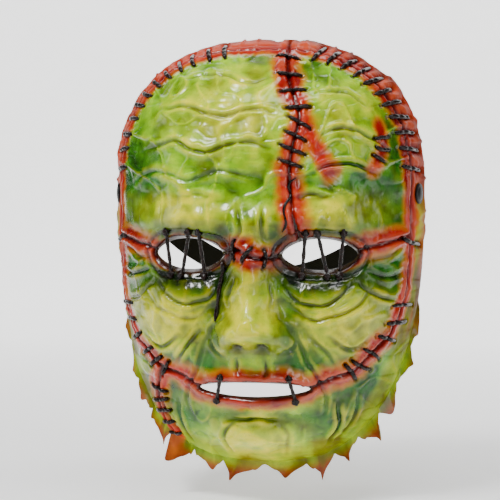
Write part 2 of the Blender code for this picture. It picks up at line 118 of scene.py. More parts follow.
# Seams, as x and z on the front in millimetres, as in the solids.
FOREHEAD_SEAM = ((13, 140), (15, 128), (20, 106), (28, 84), (25, 66), (23, 48), (25, 28),
                 (30, 4))
BRIDGE_SEAM = ((-22, 0), (-8, 3), (6, -2), (22, 1))
LEFT_JAW_SEAM = ((-59.5, -70), (-64, -88), (-61, -103), (-55, -121), (-52, -160))
OUTER_BROW = ((58, 0), (66, 4), (77, 6))
OUTER_BROW_END_Z = 0.010
MOUTH_SEAM = ((30, -82), (48, -75), (60, -71), (68, -63), (80, -51), (86, -37))
SCAR = ((71, 52), (76, 64), (74, 78))
RED_BRANCH = ((28, 84), (36, 70), (42, 58), (47, 50))
LOOSE_THREAD = ((27, 46.5), (22, 42), (24, 36), (20, 28), (22, 20), (19, 14))
DRIP_STRAND = ((-18, -4), (-17.5, -9), (-19, -18), (-20.5, -30), (-22, -40))

# Wrinkles of the skin, as x and z in millimetres: the first list lies on both sides.
PAIRED_WRINKLES = (
    ((18, -17), (29, -28), (46, -29), (62, -17)),
    ((22, -31), (38, -39), (58, -34), (70, -22)),
    ((67, -4), (78, -2), (87, 4)),
    ((67, -10), (79, -14), (88, -12)),
    ((64, -17), (74, -27), (85, -30)),
    ((20, -40), (29, -54), (35, -70), (43, -86), (42, -100)),
    ((31, -46), (42, -57), (49, -68)),
    ((46, -50), (57, -57), (70, -52)),
    ((50, -90), (49, -106), (42, -120)),
    ((62, -84), (59, -100), (50, -116)),
    ((13, -103), (20, -112), (17, -126)),
    ((8, 28), (6, 16), (9, 8)),
    ((16, 31), (33, 36), (52, 33)),
    ((10, -14), (13, -24), (12, -32)),
    ((16, -37), (25, -45), (25, -55), (17, -61)),
    ((8, -62), (9, -68), (8, -73)),
)
SINGLE_WRINKLES = (
    ((-82, 42), (-62, 50), (-40, 45), (-18, 50), (6, 46)),
    ((-74, 62), (-50, 68), (-28, 62), (-6, 68), (12, 64)),
    ((-64, 86), (-44, 90), (-22, 83), (0, 88), (14, 84)),
    ((-48, 107), (-26, 110), (-6, 104), (10, 108)),
    ((37, 50), (55, 55), (74, 48)),
    ((40, 72), (56, 76), (70, 70), (82, 62)),
    ((36, 96), (52, 99), (66, 90)),
    ((-16, -103), (0, -100), (16, -103)),
)

# Fineness of the lines that are measured, and where the skin lies calm.
LINE_PITCH = 0.5 * MM
SLOT_PITCH = 0.3 * MM
ON_MASK = 0.995
WRINKLE_WANDER = 1.6 * MM
VEIN_EDGE = 0.86
LIP_RADIUS = 2.6 * MM
RIM_GAP = 0.1 * MM
RIM_CALM = (0.992, 1.0)
CAP_CALM = (9 * MM, 15 * MM)

# Ridges and grooves in millimetres: beside what, how far off, how wide, how high.
RIDGES = (("seam", 0, 0.9, -1.9), ("puncture", 0, 1.2, -0.9), ("puncture", 2.3, 0.9, 0.5),
          ("eye", 4.0, 1.7, 1.0), ("eye", 7.2, 1.1, -0.8), ("eye", 9.6, 1.5, 0.6),
          ("mouth", 3.6, 1.9, 1.0))

# Soft spots in millimetres: on both sides or one, how strong, x, z, half width, half height.
NOSTRILS = ((True, 3.2, 7.5, -56.5, 4.0, 2.8),)
# Painted highlights: yellow on the raised nose, brow, cheekbones, chin, lips and forehead, partly
# the mask's own airbrushed yellow.
HIGHLIGHT_SPOTS = ((True, 1.0, 0, -40, 16, 20), (True, 0.9, 0, -10, 10, 30),
               (True, 0.9, 40, 26, 30, 10), (True, 0.95, 56, -40, 24, 16),
               (True, 0.9, 0, -117, 26, 14), (True, 0.7, 0, -90, 34, 7),
               (False, 0.65, -10, 85, 45, 30), (False, 0.5, 55, 85, 22, 20))
# Painted shade: dark green in the hollows, eye sockets, temples and sides, partly the mask's own
# airbrushed green.
HOLLOW_SHADE_SPOTS = ((True, 1.0, 54, -84, 20, 24), (True, 1.0, 42, 4, 34, 20),
              (True, 0.8, 80, 34, 22, 40), (True, 0.95, 24, -50, 12, 30),
              (True, 1.0, 84, -20, 18, 34), (True, 0.7, 0, -102, 40, 6))
SHADOW_SPOTS = ((True, 1.215, 39, -15, 30, 10), (True, 0.72, 41, 11, 27, 6),
                (True, 0.72, 17, 1, 7, 12), (True, 1.1, 7.5, -56.5, 4.2, 3.0))

# Painted borders: beside what, how strong, how wandering, solid and faded within, in millimetres.
RED_BORDERS = (("seam", 1.0, 2.0, 0.8, 13.0), ("branch", 0.85, 1.5, 0.0, 10.0),
               ("scar", 0.9, 1.0, 0.5, 9.0), ("mouth", 1.0, 1.5, 1.6, 13.0),
               ("eye", 0.85, 1.0, 2.0, 5.5))
MAROON_BORDERS = (("eye", 1.0, 0.6, 1.6, 4.4), ("mouth", 1.0, 0.6, 0.6, 2.6))


# ---- lines on the front

def smooth(points, steps=6):
    """A Catmull-Rom line through the points."""
    line = []
    ends = [2 * points[0] - points[1], *points, 2 * points[-1] - points[-2]]
    for before, start, end, after in zip(ends, ends[1:], ends[2:], ends[3:]):
        for step in range(steps):
            u = step / steps
            line.append(0.5 * (2 * start + (end - before) * u
                               + (2 * before - 5 * start + 4 * end - after) * u ** 2
                               + (3 * start - before - 3 * end + after) * u ** 3))
    line.append(points[-1].copy())
    return line


def route(places, side=1):
    """A smooth front-view line through places in millimetres, on a side of the face."""
    return smooth([Vector((side * x * MM, z * MM)) for x, z in places])


def half_height(below):
    """Reach of the outline from its widest level, and its roundness."""
    return np.where(below, CHIN_DROP, TOP_RISE), np.where(below, CHIN_POWER, TOP_POWER)


def rim_point(angle):
    """Rim at an angle about the widest level, across and up from there."""
    across, up = np.cos(angle), np.sin(angle)
    reach, power = half_height(up < 0)
    return (HALF_WIDTH * np.sign(across) * np.abs(across) ** (2 / power),
            reach * np.sign(up) * np.abs(up) ** (2 / power))


def crown_x(z):
    """Where the crown seam crosses a level."""
    reach, power = half_height(z < WIDEST_Z)
    level = abs(z - WIDEST_Z) / reach
    return HALF_WIDTH * (CROWN_SEAM ** power - level ** power) ** (1 / power)


def crown_angle(z):
    """Rim angle, on the right side, where the crown seam crosses a level."""
    reach, power = half_height(z < WIDEST_Z)
    rise = (abs(z - WIDEST_Z) / (CROWN_SEAM * reach)) ** (power / 2)
    return math.asin(math.copysign(rise, z - WIDEST_Z))


def crown_line(start, end, count):
    """Points along the crown seam between two angles."""
    places = [rim_point(start + (end - start) * step / count) for step in range(count + 1)]
    return [Vector((CROWN_SEAM * x, WIDEST_Z + CROWN_SEAM * z)) for x, z in places]


def brow_route(side):
    """Seam from an eye slot's outer corner to the crown seam."""
    return route((*OUTER_BROW, (crown_x(OUTER_BROW_END_Z) / MM, OUTER_BROW_END_Z / MM)), side)


def mouth_route(side):
    """Seam from a corner of the mouth to the lower end of the crown seam."""
    return route((*MOUTH_SEAM, (crown_x(CROWN_END_Z) / MM, CROWN_END_Z / MM)), side)


def hill(distance, width):
    """A rounded ridge's profile."""
    return np.exp(-(distance / width) ** 2)


def bell(x, z, centre_x, centre_z, wide, high):
    """A soft spot of paint on the front, 1 in its middle."""
    return np.exp(-((x - centre_x) / wide) ** 2 - ((z - centre_z) / high) ** 2)


def ease(value, low, high):
    """Smooth step of a value from 0 at low to 1 at high."""
    share = np.clip((value - low) / (high - low), 0, 1)
    return share * share * (3 - 2 * share)


def noise_at(x, z, scale, layer):
    """Smooth noise over the front, about -1 to 1, with features of a size in metres."""
    flat = zip((x / scale).ravel(), (z / scale).ravel())
    values = [noise.noise(Vector((a, b, layer))) for a, b in flat]
    return np.array(values).reshape(x.shape)


# ---- stitches

# One stitch: its front-view points, and how thick it is.
Stitch = namedtuple("Stitch", "places radius")


def stitches_along(line, count, length, lean, margin=0.06, radius=1.25 * MM, seed=1):
    """Stitches over a seam, a little uneven as hand sewing is."""
    spread = random.Random(seed)
    row = []
    last = len(line) - 1
    for index in range(count):
        share = margin + (1 - 2 * margin) * (index + 0.5) / count
        spot = min(last - 1, int(share * last))
        start, end = line[spot], line[spot + 1]
        middle = start.lerp(end, share * last - spot)
        rivet = Vector((HINGE.x, HINGE.z))
        if (Vector((abs(middle.x), middle.y)) - rivet).length < RIVET_CLEARANCE:
            continue
        along = (end - start).normalized()
        across = Vector((-along.y, along.x)) + along * (lean + spread.uniform(-0.12, 0.12))
        across.normalize()
        reach = length * spread.uniform(0.88, 1.08) / 2
        bow = along * spread.uniform(-0.4, 0.4) * MM
        places = []
        for step in range(13):
            u = step / 6 - 1
            places.append(middle + across * reach * u + bow * (1 - u * u) * 2)
        row.append(Stitch(places, radius * spread.uniform(0.9, 1.1)))
    return row


low_angle = crown_angle(CROWN_END_Z)
TOP_ANGLE = math.radians(86)
forehead_line = route(FOREHEAD_SEAM[:6])[6:]
SEWING = {
    "crown_stitches_right": (crown_line(low_angle, TOP_ANGLE - 0.06, 60), 13, 0.011, 0.35,
                             0.06, 1.45 * MM),
    "crown_stitches_left": (crown_line(math.pi - low_angle, TOP_ANGLE + 0.10, 60), 14,
                            0.011, -0.35, 0.06, 1.45 * MM),
    "forehead_stitches": (forehead_line, 8, 0.016, 0.3, 0.04),
    "nose_bridge_stitches": (route(BRIDGE_SEAM), 3, 0.012, 0.1, 0.18),
    "cheek_stitches_left": (mouth_route(-1)[6:], 6, 0.012, 0.2, 0.08),
    "cheek_stitches_right": (mouth_route(1)[6:], 6, 0.012, -0.2, 0.08),
    "jaw_stitches_left": (route(LEFT_JAW_SEAM)[2:-4], 5, 0.012, 0.15, 0.10),
    "scar_stitches_right": (route(SCAR), 3, 0.009, 0.2, 0.12),
}
stitches = {name: stitches_along(*facts, seed=number)
            for number, (name, facts) in enumerate(SEWING.items())}

SEAMS = [route(FOREHEAD_SEAM), route(BRIDGE_SEAM), route(LEFT_JAW_SEAM), brow_route(1),
         brow_route(-1), mouth_route(1), mouth_route(-1),
         crown_line(math.pi - low_angle, low_angle, 90)]
SEAM_ENDS = [[Vector((side * HALF_WIDTH * 1.1, CROWN_END_Z - 0.002)),
              Vector((side * crown_x(CROWN_END_Z), CROWN_END_Z))] for side in (-1, 1)]


# ---- form of the skin

def spread_of(x, z):
    """Share of the way from the middle of the mask to its rim."""
    reach, power = half_height(z < WIDEST_Z)
    level = np.abs(z - WIDEST_Z) / reach
    return np.minimum(1.0, (np.abs(x / HALF_WIDTH) ** power + level ** power) ** (1 / power))


def broad_relief(x, z):
    """Height of the face's features above the plain dome."""
    height = np.zeros(x.shape)
    for group, place in ((CENTRE_BUMPS, x), (PAIRED_BUMPS, np.abs(x))):
        for spot in group.values():
            centre_x, centre_z, rise, wide, high = [value * MM for value in spot]
            height += rise * bell(place, z, centre_x, centre_z, wide, high)
    return height


def broad_surface(x, z):
    """Depth of the plain moulded form at each front-view place."""
    spread = spread_of(x, z)
    rim_z = WIDEST_Z + (z - WIDEST_Z) / np.maximum(spread, 1e-6)
    forward = DEPTH * CHIN_LIFT * ease(LIFT_START_Z - rim_z, 0, LIFT_SPAN)
    dome = np.maximum(0.0, 1 - spread ** DOME_POWER) ** (1 / DOME_FALL)
    over = (spread - RELIEF_FADE_START) / (1 - RELIEF_FADE_START)
    fade = 1 - np.maximum(0.0, over) ** 2
    return -(forward + (DEPTH - forward) * dome + broad_relief(x, z) * fade)


def slot_level(x, z, centre, length, height, point):
    """Below 0 inside a slot of a half length and half height, 0 on its outline."""
    u = (x - centre[0]) / length
    w = (z - centre[1]) / height
    inside = np.clip(1 - u * u, 0, None) ** (point / 2)
    outside = np.maximum(0.0, np.abs(u) - 1) * length / height
    return np.where(np.abs(u) < 1, np.abs(w) - inside, np.hypot(w, outside))


EYE = (EYE_HALF_LENGTH, EYE_HALF_HEIGHT, EYE_POINT)
SLOTS = {
    "eye_left": ((-EYE_X, 0.0), *EYE),
    "eye_right": ((EYE_X, 0.0), *EYE),
    "mouth": ((0.0, MOUTH_Z), MOUTH_HALF_LENGTH, MOUTH_HALF_HEIGHT, MOUTH_POINT),
}


def slot_outline(centre, length, height, point, count=160):
    """The outline of a slot as a closed front-view line."""
    line = []
    for step in range(count + 1):
        angle = math.tau * step / count
        bulge = math.copysign(abs(math.sin(angle)) ** point, math.sin(angle))
        line.append(Vector((centre[0] + length * math.cos(angle), centre[1] + height * bulge)))
    return line


OUTLINES = {name: slot_outline(*facts) for name, facts in SLOTS.items()}


def disc_grid():
    """Front-view places of the skin's grid, and the rim's angle beside each."""
    s, t = np.meshgrid(np.linspace(-1, 1, COLUMNS + 1), np.linspace(-1, 1, ROWS + 1))
    p = s * np.sqrt(1 - t * t / 2)
    q = t * np.sqrt(1 - s * s / 2)
    angle = np.arctan2(q, p)
    rim_x, rim_z = rim_point(angle)
    spread = np.sin(np.minimum(1.0, np.hypot(p, q)) * math.pi / 2)
    return spread * rim_x, WIDEST_Z + spread * rim_z, angle


def grid_normals(places):
    """Outward normal at each point of a grid of places."""
    normal = np.cross(np.gradient(places, axis=1), np.gradient(places, axis=0))
    return normal / np.maximum(np.linalg.norm(normal, axis=2, keepdims=True), 1e-12)


class Nearby:
    """The nearest of many points."""

    def __init__(self, points):
        self.points = [Vector(point) for point in points]
        self.tree = KDTree(len(self.points))
        for index, point in enumerate(self.points):
            self.tree.insert(point, index)
        self.tree.balance()

    def look(self, places):
        """Distance of each place of a grid from the points, and the nearest's index."""
        found = np.array([self.tree.find(place)[1:] for place in places.reshape(-1, 3)])
        index, gap = found.T.reshape(2, *places.shape[:-1])
        return gap, index.astype(int)


def resample(line, pitch):
    """Points at an even pitch along a front-view line."""
    points = []
    for start, end in zip(line, line[1:]):
        count = max(1, round((end - start).length / pitch))
        points += [start.lerp(end, step / count) for step in range(count)]
    points.append(line[-1])
    return points


def lifted(points):
    """Front-view points laid on the broad surface."""
    x, z = np.array([tuple(point) for point in points]).T
    return np.stack([x, broad_surface(x, z), z], axis=1)


def on_mask(points):
    """The front-view points that lie inside the outline."""
    x, z = np.array([tuple(point) for point in points]).T
    return [point for point, share in zip(points, spread_of(x, z)) if share < ON_MASK]


def wrinkle_points():
    """Points along every wrinkle, each with the depth the wrinkle has there."""
    lines = [(line, side) for line in PAIRED_WRINKLES for side in (-1, 1)]
    lines += [(line, 1) for line in SINGLE_WRINKLES]
    points, depths = [], []
    for number, (line, side) in enumerate(lines):
        places = on_mask(resample(route(line, side), LINE_PITCH))
        depth = 0.75 + 0.25 * math.sin(number * 2.3)
        for index, (x, z) in enumerate(places):
            share = (index + 0.5) / len(places)
            wobble = Vector((noise.noise(Vector((x * 90, z * 90, number))),
                             noise.noise(Vector((z * 90, x * 90, number + 50)))))
            points.append(places[index] + wobble * WRINKLE_WANDER)
            depths.append(depth * math.sin(math.pi * share) ** 0.6)
    return lifted(points), np.array(depths)


class Skin:
    """The fine skin of the whole mask, before it is parted along its seams."""

    def __init__(self):
        self.x, self.z, self.angle = disc_grid()
        broad = np.stack([self.x, broad_surface(self.x, self.z), self.z], axis=2)
        self.measure(broad)
        out = grid_normals(broad)
        for row, step in ((0, 1), (-1, -1)):
            for column, stride in ((0, 1), (-1, -1)):
                out[row, column] = out[row + step, column + stride]
        places = broad + out * (self.detail() * MM * self.calm)[..., None]
        places[..., 1] = np.minimum(places[..., 1] + self.roll(), -RIM_GAP)
        self.places = places
        self.snap()

    def measure(self, broad):
        """Distances from the seams, stitches, wrinkles, slots and rim."""
        sewn = [stitch for row in stitches.values() for stitch in row]
        lines = {
            "seam": [point for line in SEAMS for point in on_mask(resample(line, LINE_PITCH))],
            "puncture": [stitch.places[end] for stitch in sewn for end in (0, -1)],
            "bar": [place for stitch in sewn for place in resample(stitch.places, MM)],
            "scar": resample(route(SCAR), MM),
            "branch": resample(route(RED_BRANCH), MM),
        }
        self.gap = {name: Nearby(lifted(line)).look(broad)[0] for name, line in lines.items()}
        points, depths = wrinkle_points()
        self.wrinkle, index = Nearby(points).look(broad)
        self.wrinkle_depth = depths[index]
        self.slot = {}
        for name, outline in OUTLINES.items():
            rim = Nearby(lifted(resample(outline, SLOT_PITCH)))
            gap, index = rim.look(broad)
            inside = slot_level(self.x, self.z, *SLOTS[name]) < 0
            self.slot[name] = (np.where(inside, -gap, gap), index, rim)
        self.gap["eye"] = np.minimum(self.slot["eye_left"][0], self.slot["eye_right"][0])
        self.gap["mouth"] = self.slot["mouth"][0]
        self.opening = np.minimum(self.gap["eye"], self.gap["mouth"])
        caps = [(side * HINGE.x, HINGE.y, HINGE.z) for side in (-1, 1)]
        cap = Nearby(caps).look(broad)[0]
        self.spread = spread_of(self.x, self.z)
        self.calm = (1 - ease(self.spread, *RIM_CALM)) * ease(cap, *CAP_CALM)

    def detail(self):
        """Height of the fine relief, in millimetres."""
        x, z, bar = self.x, self.z, self.gap["bar"]
        self.mottle = noise_at(x, z, 15 * MM, 1.5)
        self.speckle = noise_at(x, z, 6.5 * MM, 7.5)
        fine = noise_at(x, z, 2.8 * MM, 3.5)
        branching = 1 - np.abs(noise_at(x, z * 0.8, 17 * MM, 11.5)) * 2
        veins = np.clip(branching - VEIN_EDGE, 0, 1) / (1 - VEIN_EDGE)
        self.veins = veins * ease(self.opening, 6 * MM, 12 * MM)
        cracks = np.clip(1 - np.abs(noise_at(x * 0.7, z, 8 * MM, 21.5)) * 9, 0, 1)
        gathers = 0.75 + 0.45 * noise_at(x, z, 4 * MM, 31.5)
        puff = ease(self.spread, 0.935, 0.962) * ease(z, -0.02, 0.01)
        height = 0.9 * self.mottle + 0.55 * self.speckle + 0.14 * fine
        height += (0.6 + 0.5 * ease(z, 0.015, 0.035)) * self.veins - 0.4 * cracks
        shoulder = 1.35 * hill(self.wrinkle - 2.7 * MM, 1.7 * MM)
        height += self.wrinkle_depth * (shoulder - 1.9 * hill(self.wrinkle, 0.95 * MM))
        height += 1.4 * hill(self.gap["seam"] - 2.9 * MM, 1.7 * MM) * gathers
        height += 1.7 * puff * ease(bar, 0.8 * MM, 5.5 * MM)
        height -= (0.75 + 0.7 * puff) * hill(bar, 1.5 * MM)
        for name, away, width, rise in RIDGES:
            height += rise * hill(self.gap[name] - away * MM, width * MM)
        height -= sum(washes(x, z, NOSTRILS))
        self.height = height
        return height

    def roll(self):
        """How far the lips of the slots turn in."""
        share = np.clip(1 - np.maximum(self.opening, 0) / LIP_RADIUS, 0, 1)
        return LIP_RADIUS * (1 - np.sqrt(1 - share ** 2))

    def snap(self):
        """Take out the cells of the slots and bring the edges left onto the outlines."""
        centres = self.cells(self.x), self.cells(self.z)
        self.gone = np.zeros(centres[0].shape, bool)
        halves = (slice(0, -1), slice(1, None))
        for name, (gap, index, rim) in self.slot.items():
            gone = slot_level(*centres, *SLOTS[name]) < 0
            self.gone |= gone
            touched = np.zeros(gap.shape, bool)
            kept = np.zeros(gap.shape, bool)
            for corner in ((rows, columns) for rows in halves for columns in halves):
                touched[corner] |= gone
                kept[corner] |= ~gone
            for spot in zip(*np.nonzero(touched & kept)):
                edge = rim.points[index[spot]]
                self.places[spot] = (edge.x, edge.y + LIP_RADIUS, edge.z)

    @staticmethod
    def cells(values):
        """The mean of each cell's corners."""
        return (values[:-1, :-1] + values[1:, :-1] + values[:-1, 1:] + values[1:, 1:]) / 4


# ---- panels

PANELS = {
    "forehead_panel_left": (-0.030, 0.070),
    "forehead_panel_right": (0.050, 0.070),
    "mid_face_panel": (0.0, -0.060),
    "cheek_panel_left": (-0.080, -0.075),
    "jaw_panel": (0.0, -0.115),
    "crown_band_left": (-0.060, 0.127),
    "crown_band_right": (0.060, 0.127),
}


def turn_of(along, link):
    """Which way, and how far, one front-view direction turns to another."""
    return along[..., 0] * link[..., 1] - along[..., 1] * link[..., 0]


def crossed(first, second, line):
    """Which of the short links between two sets of places cross a front-view line."""
    cut = np.zeros(first.shape[:-1], bool)
    low, high = np.minimum(first, second), np.maximum(first, second)
    for a, b in zip(np.array(line), np.array(line[1:])):
        box = ((high >= np.minimum(a, b)) & (low <= np.maximum(a, b))).all(axis=-1)
        if not box.any():
            continue
        p, q = first[box], second[box]
        parted = turn_of(b - a, p - a) * turn_of(b - a, q - a) <= 0
        cut[box] |= parted & (turn_of(q - p, a - p) * turn_of(q - p, b - p) <= 0)
    return cut


def label_cells(skin):
    """The number of the panel each cell belongs to, or -1 in a slot."""
    centres = np.stack([skin.cells(skin.x), skin.cells(skin.z)], axis=2)
    across = np.zeros(centres[:, 1:].shape[:2], bool)
    upward = np.zeros(centres[1:].shape[:2], bool)
    for line in SEAMS + SEAM_ENDS:
        across |= crossed(centres[:, :-1], centres[:, 1:], line)
        upward |= crossed(centres[:-1], centres[1:], line)
    ways = {(0, 1): np.pad(~across, ((0, 0), (0, 1))), (0, -1): np.pad(~across, ((0, 0), (1, 0))),
            (1, 0): np.pad(~upward, ((0, 1), (0, 0))), (-1, 0): np.pad(~upward, ((1, 0), (0, 0)))}
    labels = np.full(skin.gone.shape, -1)
    for number, (x, z) in enumerate(PANELS.values()):
        away = np.hypot(centres[..., 0] - x, centres[..., 1] - z)
        front = [np.unravel_index(np.argmin(away), away.shape)]
        labels[front[0]] = number
        while front:
            row, column = front.pop()
            for (step, slide), way in ways.items():
                spot = (row + step, column + slide)
                if way[row, column] and labels[spot] < 0 and not skin.gone[spot]:
                    labels[spot] = number
                    front.append(spot)
    return settle(labels, skin.gone)


def settle(labels, gone):
    """Give the few cells shut in between seams to a neighbouring panel."""
    for _ in range(6):
        left = np.argwhere((labels < 0) & ~gone)
        for row, column in left:
            for step, slide in ((0, 1), (1, 0), (0, -1), (-1, 0)):
                spot = (row + step, column + slide)
                if 0 <= spot[0] < labels.shape[0] and 0 <= spot[1] < labels.shape[1]:
                    if labels[spot] >= 0:
                        labels[row, column] = labels[spot]
                        break
    return labels


def rim_loop():
    """Grid places round the edge, from the right side down, round and back up."""
    bottom = [(0, column) for column in range(COLUMNS + 1)]
    left, right = [[(row, column) for row in range(1, ROWS // 2)] for column in (0, COLUMNS)]
    return left[::-1] + bottom + right


def drip(angle):
    """Length of the torn hem's drips at an angle of the rim."""
    turn = angle % math.tau
    share = (turn - DRIP_START) / (DRIP_END - DRIP_START) * len(DRIP_LENGTHS)
    if not 0 <= share < len(DRIP_LENGTHS):
        return 0.0
    index = int(share)
    tip = 0.5 + 0.22 * math.sin(index * 2.7)
    across = share - index
    off_tip = (tip - across) / tip if across < tip else (across - tip) / (1 - tip)
    thin = 0.24 + 0.12 * math.sin(index * 1.9)
    main = 0.62 * (1 - off_tip ** 1.6) + 0.38 * math.exp(-(off_tip / thin) ** 2)
    off_side = abs(across - (0.16 if tip > 0.5 else 0.84)) / 0.15
    small = 0.32 * max(0.0, 1 - off_side ** 1.7)
    apron = 0.26 * (1 - (abs(across - 0.5) * 2) ** 4)
    torn = 1 + 0.16 * noise.noise(Vector((share * 6.1, 0, 0)))
    ends = min(1.0, share / 0.6, (len(DRIP_LENGTHS) - share) / 0.6)
    ragged = 2.6 + 1.3 * noise.noise(Vector((share * 2.3, 5, 0)))
    hanging = DRIP_LENGTHS[index] * MM * max(main, small, apron) * torn
    return hanging * 0.86 + ragged * MM * ends


def washes(x, z, spots):
    """Soft spots of paint or relief, from a table in millimetres."""
    return [strength * bell(np.abs(x) if mirrored else x, z, *[value * MM for value in spot])
            for mirrored, strength, *spot in spots]


def borders(skin, drift, table):
    """Paint that fades away from lines of the skin, where it is strongest."""
    return np.maximum.reduce([
        strength * (1 - ease(skin.gap[name] + drift * wander, solid * MM, faded * MM))
        for name, strength, wander, solid, faded in table])


def paint(skin):
    """How much of each colour lies at each place of the skin."""
    x, z, gap = skin.x, skin.z, skin.gap
    drift = 1.6 * MM * noise_at(x, z, 9 * MM, 41.5) + 0.8 * MM * noise_at(x, z, 3 * MM, 43.5)
    upper = 0.12 + 0.88 * ease(z + drift * 4, 0.018, 0.056)
    sides = ease(z + drift * 3, -0.075, -0.030)
    rim = ease(skin.spread + drift * 6, 0.915, 0.945) * upper
    # Painted highlight: yellow laid on the raised features, on the ridges of the veins and on the
    # wrinkle shoulders, partly airbrushed yellow.
    high = np.maximum.reduce(washes(x, z, HIGHLIGHT_SPOTS))
    ridge = 0.6 * skin.veins + 0.5 * hill(skin.wrinkle - 2.7 * MM, 1.5 * MM)
    # Painted shade: green in the hollows, partly airbrushed green; the mottle below is random
    # tone.
    deep_green_and_shade = np.maximum.reduce(washes(x, z, HOLLOW_SHADE_SPOTS))
    # Painted shade: darkening in the wrinkle and seam grooves, at the punctures, in the groove
    # below the eyes and in the shadow spots.
    crease = skin.wrinkle_depth * hill(skin.wrinkle, 1.3 * MM)
    dark = sum(washes(x, z, SHADOW_SPOTS)) + 0.5 * crease + 0.95 * hill(gap["seam"], 1.3 * MM)
    dark += 0.7 * hill(gap["puncture"], 1.5 * MM) + 0.5 * hill(gap["eye"] - 7.2 * MM, 1.3 * MM)
    shares = {
        "height": 0.5 + 0.32 * skin.height,
        "red": np.maximum(rim, borders(skin, drift, RED_BORDERS)),
        "yellow": high * (0.85 + 0.5 * skin.speckle) + 0.55 * ridge * high,
        "deep_green_and_shade": deep_green_and_shade * 1.05 + 0.8 * np.maximum(-skin.mottle, 0) + 0.12,
        "dark": dark,
        "maroon": borders(skin, drift, MAROON_BORDERS),
        "orange": np.zeros(x.shape),
        "satin": ease(skin.spread, 0.90, 0.97),
        "edge": ease(skin.spread + drift * 4, 0.962, 0.990) * sides,
    }
    return {name: np.clip(values, 0, 1) for name, values in shares.items()}


def hem(skin, colours):
    """The drips below the rim: their points, colours, and the loop they hang from."""
    loop = rim_loop()
    points, shades = [], []
    for row in range(1, DRIP_ROWS + 1):
        share = row / DRIP_ROWS
        for spot in loop:
            angle = float(skin.angle[spot])
            length = drip(angle)
            fall = Vector((math.cos(angle), 0.0, math.sin(angle) - 0.6)).normalized()
            fall.x += 0.22 * share * math.sin(angle * 31)
            curl = 0.0022 * share * share * math.sin(angle * 23)
            base = Vector(skin.places[spot])
            points.append(base + fall * length * share + Vector((0.0, curl * length / 0.018, 0.0)))
            shades.append(share * min(1.0, length / 0.012))
    shades = np.array(shades)
    tint = {}
    for name, values in colours.items():
        at_rim = np.array([values[spot] for spot in loop])
        tint[name] = np.tile(at_rim, DRIP_ROWS) * (1 - ease(shades, 0.4, 1.0))
    tint["orange"] = ease(shades, 0.12, 0.75)
    tint["satin"] = np.full(len(points), 0.5)
    tint["dark"] = 0.30 * ease(shades, 0.6, 1.0)
    return loop, np.array([tuple(point) for point in points]), tint


def skin_faces(skin, labels, loop):
    """Corner numbers of every cell and hem face, and the panel of each."""
    width = COLUMNS + 1
    faces, owners = [], []
    for row, column in np.argwhere(labels >= 0):
        first = row * width + column
        faces.append((first, first + 1, first + width + 1, first + width))
        owners.append(labels[row, column])
    numbers = [row * width + column for row, column in loop]
    grid = (ROWS + 1) * width
    levels = [numbers] + [[grid + level * len(loop) + step for step in range(len(loop))]
                          for level in range(DRIP_ROWS)]
    for step in range(len(loop) - 1):
        angles = [drip(float(skin.angle[loop[step + turn]])) for turn in (0, 1)]
        if max(angles) < 0.15 * MM:
            continue
        cell = tuple(min(max(min(loop[step][axis], loop[step + 1][axis]), 0),
                         labels.shape[axis] - 1) for axis in (0, 1))
        for upper, lower in zip(levels, levels[1:]):
            faces.append((upper[step], lower[step], lower[step + 1], upper[step + 1]))
            owners.append(labels[cell])
    return np.array(faces), np.array(owners)


def mesh_from(points, faces):
    """A mesh of points and faces, shaded smooth."""
    mesh = bpy.data.meshes.new("form")
    mesh.from_pydata([tuple(point) for point in points], [], [tuple(face) for face in faces])
    mesh.update()
    mesh.polygons.foreach_set("use_smooth", [True] * len(mesh.polygons))
    return mesh


def mesh_of(form):
    """The mesh of an editing form, which is used up."""
    mesh = bpy.data.meshes.new("form")
    form.to_mesh(mesh)
    form.free()
    return mesh


def linked(name, data):
    """A new object of some data, in the scene."""
    data.name = name
    obj = bpy.data.objects.new(name, data)
    bpy.context.scene.collection.objects.link(obj)
    return obj


def shown(name, mesh, look, body, node):
    """Link a visible piece that stands for one of the solids."""
    mesh.materials.append(look)
    obj = linked(name, mesh)
    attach(obj, body)
    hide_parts(node)


def show_thread(name, mesh):
    """Link a thread that stands for the solid of its name."""
    shown(name + "_thread", mesh, THREAD, "mask", name)


def boundary(faces):
    """The directed edges that only one face has."""
    edges = dict.fromkeys((int(start), int(end)) for face in faces
                          for start, end in zip(face, np.roll(face, -1)))
    return [edge for edge in edges if edge[::-1] not in edges]


def give(mesh, name, values):
    """Give a mesh one value at each point."""
    layer = mesh.attributes.new(name, "FLOAT", "POINT")
    layer.data.foreach_set("value", values.astype(np.float32))


def panel_mesh(faces, points, normals, thickness, colours):
    """A closed shell panel from its outer faces, with its paint."""
    used, corner = np.unique(faces, return_inverse=True)
    corner = corner.reshape(faces.shape)
    count = len(used)
    outer = points[used]
    inner = outer - normals[used] * thickness[used][:, None]
    inner[:, 1] = np.minimum(inner[:, 1], 0.0)
    walls = [(end, start, start + count, end + count) for start, end in boundary(corner)]
    every = np.concatenate([corner, corner[:, ::-1] + count, np.array(walls)])
    mesh = mesh_from(np.concatenate([outer, inner]), every)
    flat = np.array([polygon.normal for polygon in mesh.polygons[2 * len(corner):]])
    facing = np.concatenate([normals[used][corner.ravel()],
                             -normals[used][corner[:, ::-1].ravel()], np.repeat(flat, 4, axis=0)])
    mesh.normals_split_custom_set([tuple(normal) for normal in facing.astype(np.float32)])
    for label, values in colours.items():
        give(mesh, label, np.tile(values[used], 2))
    give(mesh, "inside", np.repeat([0.0, 1.0], count))
    return mesh


